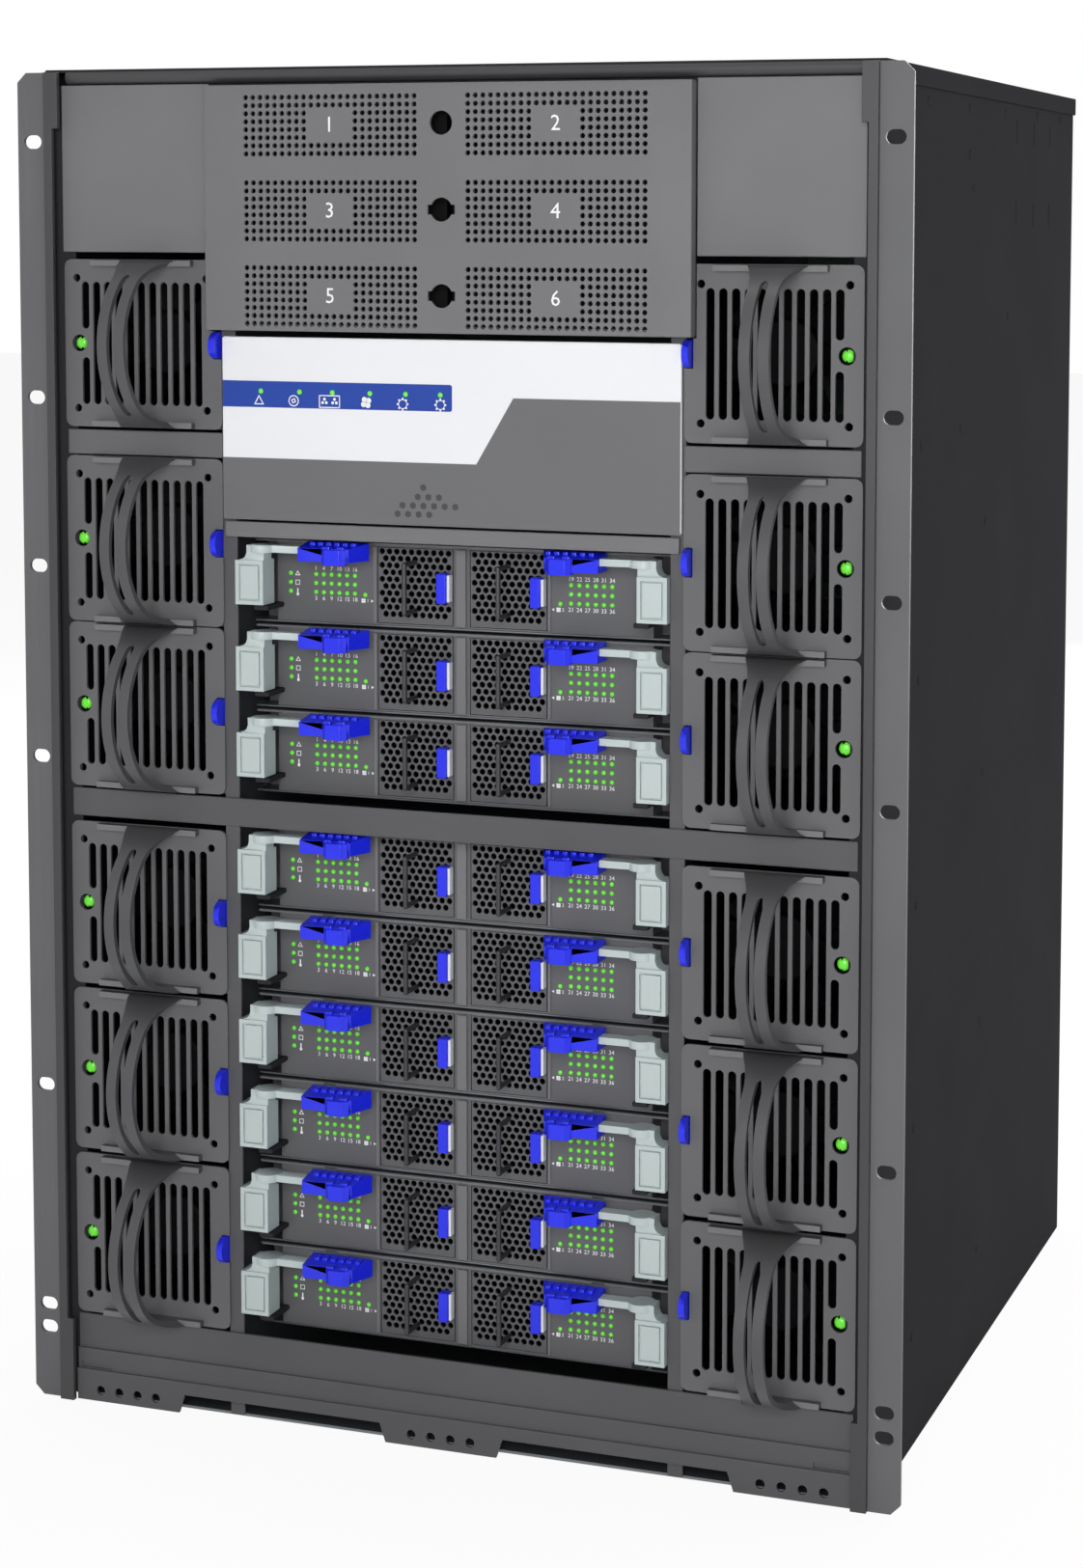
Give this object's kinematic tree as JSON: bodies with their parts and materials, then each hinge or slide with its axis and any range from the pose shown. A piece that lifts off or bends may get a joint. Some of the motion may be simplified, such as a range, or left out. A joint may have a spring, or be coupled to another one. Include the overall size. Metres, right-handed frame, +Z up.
{
  "type": "rack-mount network switch chassis",
  "caption": "Tall rack-mount network switch chassis with slide-in fan drawers, spine modules with ejector levers, a perforated supply cover and a status panel.",
  "frame": {"origin": "middle of the part's footprint, on the plane that the chassis stands on", "axes": "+Z up, the front with the fan drawers looks along -Y, +X to the right seen from the front"},
  "size_m": [0.4826, 0.49, 0.7104],
  "materials": {
    "dark_steel": "satin powder coat, near black",
    "grey_steel": "satin powder coat, mid grey",
    "plain_steel": "zinc-plated sheet",
    "board": "glass-fibre circuit board",
    "bezel": "moulded bezel with printed stripe",
    "fan_plate": "satin powder coat, dark grey",
    "spine_sheet": "satin powder coat, dark grey",
    "spine_fan": "black moulding with a steel grille",
    "lever": "cast and painted light grey, blue plastic grip"
  },
  "bodies": {
    "chassis": {"side_wall_left": "dark_steel", "side_wall_right": "dark_steel", "top_cover": "dark_steel", "inner_cage": "plain_steel", "midplane_board": "board", "power_supplies": "plain_steel", "leaf_modules": "dark_steel", "front_frame": "grey_steel", "base_rail": "grey_steel", "blank_panels": "grey_steel", "status_panel": "bezel"},
    "supply_cover": {"supply_cover": "grey_steel"},
    "fan_drawer_left_1": {"fan_drawer_left_1": "fan_plate"},
    "fan_drawer_left_2": {"fan_drawer_left_2": "fan_plate"},
    "fan_drawer_left_3": {"fan_drawer_left_3": "fan_plate"},
    "fan_drawer_left_4": {"fan_drawer_left_4": "fan_plate"},
    "fan_drawer_left_5": {"fan_drawer_left_5": "fan_plate"},
    "fan_drawer_left_6": {"fan_drawer_left_6": "fan_plate"},
    "fan_drawer_right_1": {"fan_drawer_right_1": "fan_plate"},
    "fan_drawer_right_2": {"fan_drawer_right_2": "fan_plate"},
    "fan_drawer_right_3": {"fan_drawer_right_3": "fan_plate"},
    "fan_drawer_right_4": {"fan_drawer_right_4": "fan_plate"},
    "fan_drawer_right_5": {"fan_drawer_right_5": "fan_plate"},
    "fan_drawer_right_6": {"fan_drawer_right_6": "fan_plate"},
    "spine_1": {"spine_1": "spine_sheet"},
    "spine_fans_1": {"spine_fans_1": "spine_fan"},
    "lever_left_1": {"lever_left_1": "lever"},
    "lever_right_1": {"lever_right_1": "lever"},
    "spine_2": {"spine_2": "spine_sheet"},
    "spine_fans_2": {"spine_fans_2": "spine_fan"},
    "lever_left_2": {"lever_left_2": "lever"},
    "lever_right_2": {"lever_right_2": "lever"},
    "spine_3": {"spine_3": "spine_sheet"},
    "spine_fans_3": {"spine_fans_3": "spine_fan"},
    "lever_left_3": {"lever_left_3": "lever"},
    "lever_right_3": {"lever_right_3": "lever"},
    "spine_4": {"spine_4": "spine_sheet"},
    "spine_fans_4": {"spine_fans_4": "spine_fan"},
    "lever_left_4": {"lever_left_4": "lever"},
    "lever_right_4": {"lever_right_4": "lever"},
    "spine_5": {"spine_5": "spine_sheet"},
    "spine_fans_5": {"spine_fans_5": "spine_fan"},
    "lever_left_5": {"lever_left_5": "lever"},
    "lever_right_5": {"lever_right_5": "lever"},
    "spine_6": {"spine_6": "spine_sheet"},
    "spine_fans_6": {"spine_fans_6": "spine_fan"},
    "lever_left_6": {"lever_left_6": "lever"},
    "lever_right_6": {"lever_right_6": "lever"},
    "spine_7": {"spine_7": "spine_sheet"},
    "spine_fans_7": {"spine_fans_7": "spine_fan"},
    "lever_left_7": {"lever_left_7": "lever"},
    "lever_right_7": {"lever_right_7": "lever"},
    "spine_8": {"spine_8": "spine_sheet"},
    "spine_fans_8": {"spine_fans_8": "spine_fan"},
    "lever_left_8": {"lever_left_8": "lever"},
    "lever_right_8": {"lever_right_8": "lever"},
    "spine_9": {"spine_9": "spine_sheet"},
    "spine_fans_9": {"spine_fans_9": "spine_fan"},
    "lever_left_9": {"lever_left_9": "lever"},
    "lever_right_9": {"lever_right_9": "lever"}
  },
  "joints": [
    {"name": "supply_cover_pull", "type": "slide", "parent": "chassis", "child": "supply_cover", "axis": [0, -1, 0], "range_m": [0, 0.03]},
    {"name": "fan_drawer_left_1_slide", "type": "slide", "parent": "chassis", "child": "fan_drawer_left_1", "axis": [0, -1, 0], "range_m": [0, 0.135]},
    {"name": "fan_drawer_left_2_slide", "type": "slide", "parent": "chassis", "child": "fan_drawer_left_2", "axis": [0, -1, 0], "range_m": [0, 0.135]},
    {"name": "fan_drawer_left_3_slide", "type": "slide", "parent": "chassis", "child": "fan_drawer_left_3", "axis": [0, -1, 0], "range_m": [0, 0.135]},
    {"name": "fan_drawer_left_4_slide", "type": "slide", "parent": "chassis", "child": "fan_drawer_left_4", "axis": [0, -1, 0], "range_m": [0, 0.135]},
    {"name": "fan_drawer_left_5_slide", "type": "slide", "parent": "chassis", "child": "fan_drawer_left_5", "axis": [0, -1, 0], "range_m": [0, 0.135]},
    {"name": "fan_drawer_left_6_slide", "type": "slide", "parent": "chassis", "child": "fan_drawer_left_6", "axis": [0, -1, 0], "range_m": [0, 0.135]},
    {"name": "fan_drawer_right_1_slide", "type": "slide", "parent": "chassis", "child": "fan_drawer_right_1", "axis": [0, -1, 0], "range_m": [0, 0.135]},
    {"name": "fan_drawer_right_2_slide", "type": "slide", "parent": "chassis", "child": "fan_drawer_right_2", "axis": [0, -1, 0], "range_m": [0, 0.135]},
    {"name": "fan_drawer_right_3_slide", "type": "slide", "parent": "chassis", "child": "fan_drawer_right_3", "axis": [0, -1, 0], "range_m": [0, 0.135]},
    {"name": "fan_drawer_right_4_slide", "type": "slide", "parent": "chassis", "child": "fan_drawer_right_4", "axis": [0, -1, 0], "range_m": [0, 0.135]},
    {"name": "fan_drawer_right_5_slide", "type": "slide", "parent": "chassis", "child": "fan_drawer_right_5", "axis": [0, -1, 0], "range_m": [0, 0.135]},
    {"name": "fan_drawer_right_6_slide", "type": "slide", "parent": "chassis", "child": "fan_drawer_right_6", "axis": [0, -1, 0], "range_m": [0, 0.135]},
    {"name": "spine_1_slide", "type": "slide", "parent": "chassis", "child": "spine_1", "axis": [0, -1, 0], "range_m": [0, 0.19]},
    {"name": "spine_fans_1_slide", "type": "slide", "parent": "spine_1", "child": "spine_fans_1", "axis": [0, -1, 0], "range_m": [0, 0.06]},
    {"name": "lever_left_1_turn", "type": "hinge", "parent": "spine_1", "child": "lever_left_1", "pos_m": [-0.104, -0.198, 0.4466], "axis": [0, 0, -1], "range_deg": [0, 60]},
    {"name": "lever_right_1_turn", "type": "hinge", "parent": "spine_1", "child": "lever_right_1", "pos_m": [0.104, -0.198, 0.4466], "axis": [0, 0, 1], "range_deg": [0, 60]},
    {"name": "spine_2_slide", "type": "slide", "parent": "chassis", "child": "spine_2", "axis": [0, -1, 0], "range_m": [0, 0.19]},
    {"name": "spine_fans_2_slide", "type": "slide", "parent": "spine_2", "child": "spine_fans_2", "axis": [0, -1, 0], "range_m": [0, 0.06]},
    {"name": "lever_left_2_turn", "type": "hinge", "parent": "spine_2", "child": "lever_left_2", "pos_m": [-0.104, -0.198, 0.4016], "axis": [0, 0, -1], "range_deg": [0, 60]},
    {"name": "lever_right_2_turn", "type": "hinge", "parent": "spine_2", "child": "lever_right_2", "pos_m": [0.104, -0.198, 0.4016], "axis": [0, 0, 1], "range_deg": [0, 60]},
    {"name": "spine_3_slide", "type": "slide", "parent": "chassis", "child": "spine_3", "axis": [0, -1, 0], "range_m": [0, 0.19]},
    {"name": "spine_fans_3_slide", "type": "slide", "parent": "spine_3", "child": "spine_fans_3", "axis": [0, -1, 0], "range_m": [0, 0.06]},
    {"name": "lever_left_3_turn", "type": "hinge", "parent": "spine_3", "child": "lever_left_3", "pos_m": [-0.104, -0.198, 0.3566], "axis": [0, 0, -1], "range_deg": [0, 60]},
    {"name": "lever_right_3_turn", "type": "hinge", "parent": "spine_3", "child": "lever_right_3", "pos_m": [0.104, -0.198, 0.3566], "axis": [0, 0, 1], "range_deg": [0, 60]},
    {"name": "spine_4_slide", "type": "slide", "parent": "chassis", "child": "spine_4", "axis": [0, -1, 0], "range_m": [0, 0.19]},
    {"name": "spine_fans_4_slide", "type": "slide", "parent": "spine_4", "child": "spine_fans_4", "axis": [0, -1, 0], "range_m": [0, 0.06]},
    {"name": "lever_left_4_turn", "type": "hinge", "parent": "spine_4", "child": "lever_left_4", "pos_m": [-0.104, -0.198, 0.2951], "axis": [0, 0, -1], "range_deg": [0, 60]},
    {"name": "lever_right_4_turn", "type": "hinge", "parent": "spine_4", "child": "lever_right_4", "pos_m": [0.104, -0.198, 0.2951], "axis": [0, 0, 1], "range_deg": [0, 60]},
    {"name": "spine_5_slide", "type": "slide", "parent": "chassis", "child": "spine_5", "axis": [0, -1, 0], "range_m": [0, 0.19]},
    {"name": "spine_fans_5_slide", "type": "slide", "parent": "spine_5", "child": "spine_fans_5", "axis": [0, -1, 0], "range_m": [0, 0.06]},
    {"name": "lever_left_5_turn", "type": "hinge", "parent": "spine_5", "child": "lever_left_5", "pos_m": [-0.104, -0.198, 0.2501], "axis": [0, 0, -1], "range_deg": [0, 60]},
    {"name": "lever_right_5_turn", "type": "hinge", "parent": "spine_5", "child": "lever_right_5", "pos_m": [0.104, -0.198, 0.2501], "axis": [0, 0, 1], "range_deg": [0, 60]},
    {"name": "spine_6_slide", "type": "slide", "parent": "chassis", "child": "spine_6", "axis": [0, -1, 0], "range_m": [0, 0.19]},
    {"name": "spine_fans_6_slide", "type": "slide", "parent": "spine_6", "child": "spine_fans_6", "axis": [0, -1, 0], "range_m": [0, 0.06]},
    {"name": "lever_left_6_turn", "type": "hinge", "parent": "spine_6", "child": "lever_left_6", "pos_m": [-0.104, -0.198, 0.2051], "axis": [0, 0, -1], "range_deg": [0, 60]},
    {"name": "lever_right_6_turn", "type": "hinge", "parent": "spine_6", "child": "lever_right_6", "pos_m": [0.104, -0.198, 0.2051], "axis": [0, 0, 1], "range_deg": [0, 60]},
    {"name": "spine_7_slide", "type": "slide", "parent": "chassis", "child": "spine_7", "axis": [0, -1, 0], "range_m": [0, 0.19]},
    {"name": "spine_fans_7_slide", "type": "slide", "parent": "spine_7", "child": "spine_fans_7", "axis": [0, -1, 0], "range_m": [0, 0.06]},
    {"name": "lever_left_7_turn", "type": "hinge", "parent": "spine_7", "child": "lever_left_7", "pos_m": [-0.104, -0.198, 0.1601], "axis": [0, 0, -1], "range_deg": [0, 60]},
    {"name": "lever_right_7_turn", "type": "hinge", "parent": "spine_7", "child": "lever_right_7", "pos_m": [0.104, -0.198, 0.1601], "axis": [0, 0, 1], "range_deg": [0, 60]},
    {"name": "spine_8_slide", "type": "slide", "parent": "chassis", "child": "spine_8", "axis": [0, -1, 0], "range_m": [0, 0.19]},
    {"name": "spine_fans_8_slide", "type": "slide", "parent": "spine_8", "child": "spine_fans_8", "axis": [0, -1, 0], "range_m": [0, 0.06]},
    {"name": "lever_left_8_turn", "type": "hinge", "parent": "spine_8", "child": "lever_left_8", "pos_m": [-0.104, -0.198, 0.1151], "axis": [0, 0, -1], "range_deg": [0, 60]},
    {"name": "lever_right_8_turn", "type": "hinge", "parent": "spine_8", "child": "lever_right_8", "pos_m": [0.104, -0.198, 0.1151], "axis": [0, 0, 1], "range_deg": [0, 60]},
    {"name": "spine_9_slide", "type": "slide", "parent": "chassis", "child": "spine_9", "axis": [0, -1, 0], "range_m": [0, 0.19]},
    {"name": "spine_fans_9_slide", "type": "slide", "parent": "spine_9", "child": "spine_fans_9", "axis": [0, -1, 0], "range_m": [0, 0.06]},
    {"name": "lever_left_9_turn", "type": "hinge", "parent": "spine_9", "child": "lever_left_9", "pos_m": [-0.104, -0.198, 0.0701], "axis": [0, 0, -1], "range_deg": [0, 60]},
    {"name": "lever_right_9_turn", "type": "hinge", "parent": "spine_9", "child": "lever_right_9", "pos_m": [0.104, -0.198, 0.0701], "axis": [0, 0, 1], "range_deg": [0, 60]}
  ]
}
